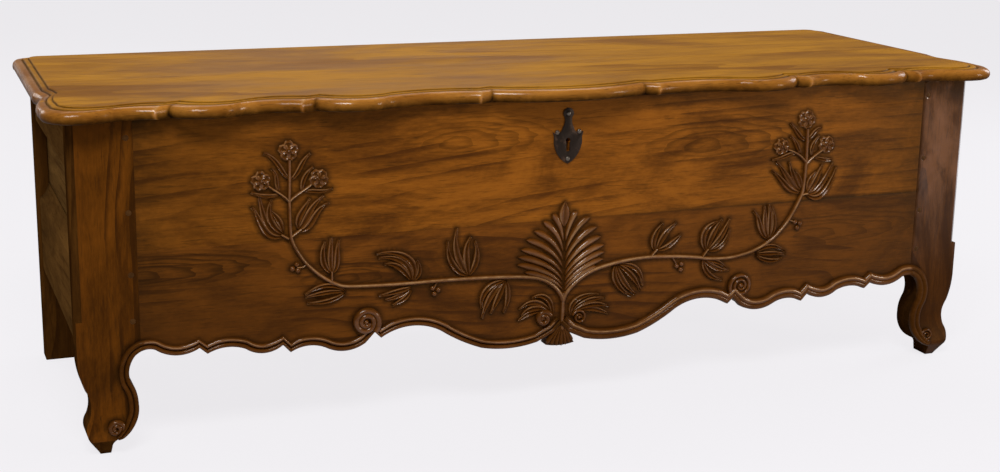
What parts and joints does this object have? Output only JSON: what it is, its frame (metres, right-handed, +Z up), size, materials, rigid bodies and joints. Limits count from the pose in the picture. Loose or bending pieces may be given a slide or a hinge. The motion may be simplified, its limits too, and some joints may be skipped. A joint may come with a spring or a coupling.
{
  "type": "carved coffer",
  "caption": "Long carved wooden coffer on short cabriole legs, with a scalloped apron, a hinged lid with a serpentine moulded edge, an iron keyhole shield and an inside bolt lock.",
  "frame": {"origin": "on the floor, at the middle of the bounding box's length and depth", "axes": "+X along the chest to the viewer's right, the carved front looks to -Y, +Z up"},
  "size_m": [1.8916, 0.6678, 0.6183],
  "materials": {
    "front_wood": "waxed, warm brown, dark in the recesses",
    "lid_wood": "waxed and polished, honey brown",
    "side_wood": "waxed, dark brown",
    "plain_wood": "bare, planed",
    "peg_wood": "waxed, dark brown",
    "iron": "forged, dark, waxed"
  },
  "bodies": {
    "chest": {"front_stile_left": "front_wood", "front_stile_right": "front_wood", "front_board_upper": "front_wood", "front_board_lower": "front_wood", "rear_post_left": "side_wood", "rear_post_right": "side_wood", "side_top_rail_left": "side_wood", "side_top_rail_right": "side_wood", "side_bottom_rail_left": "side_wood", "side_bottom_rail_right": "side_wood", "side_panel_left": "side_wood", "side_panel_right": "side_wood", "back_board_upper": "plain_wood", "back_board_lower": "plain_wood", "floor_board_front": "plain_wood", "floor_board_second": "plain_wood", "floor_board_third": "plain_wood", "floor_board_rear": "plain_wood", "floor_bearer_left": "plain_wood", "floor_bearer_middle": "plain_wood", "floor_bearer_right": "plain_wood", "front_pegs_left": "peg_wood", "front_pegs_right": "peg_wood", "escutcheon": "iron", "escutcheon_nails": "iron", "lock_plate": "iron", "lock_nails": "iron", "lock_case": "iron", "hinge_plate_left": "iron", "hinge_plate_right": "iron", "hinge_plate_nails": "iron", "hinge_pin_left": "iron", "hinge_pin_right": "iron"},
    "lid": {"lid_board_front": "lid_wood", "lid_board_rear": "lid_wood", "lid_batten_left": "plain_wood", "lid_batten_right": "plain_wood", "hinge_strap_left": "iron", "hinge_strap_right": "iron", "hinge_strap_nails": "iron", "lid_staple": "iron", "staple_nails": "iron"},
    "bolt": {"lock_bolt": "iron"}
  },
  "joints": [
    {"name": "lid_hinge", "type": "hinge", "parent": "chest", "child": "lid", "pos_m": [0, 0.3267, 0.5853], "axis": [-1, 0, 0], "range_deg": [0, 100]},
    {"name": "bolt_slide", "type": "slide", "parent": "chest", "child": "bolt", "axis": [1, 0, 0], "range_m": [0, 0.014]}
  ]
}
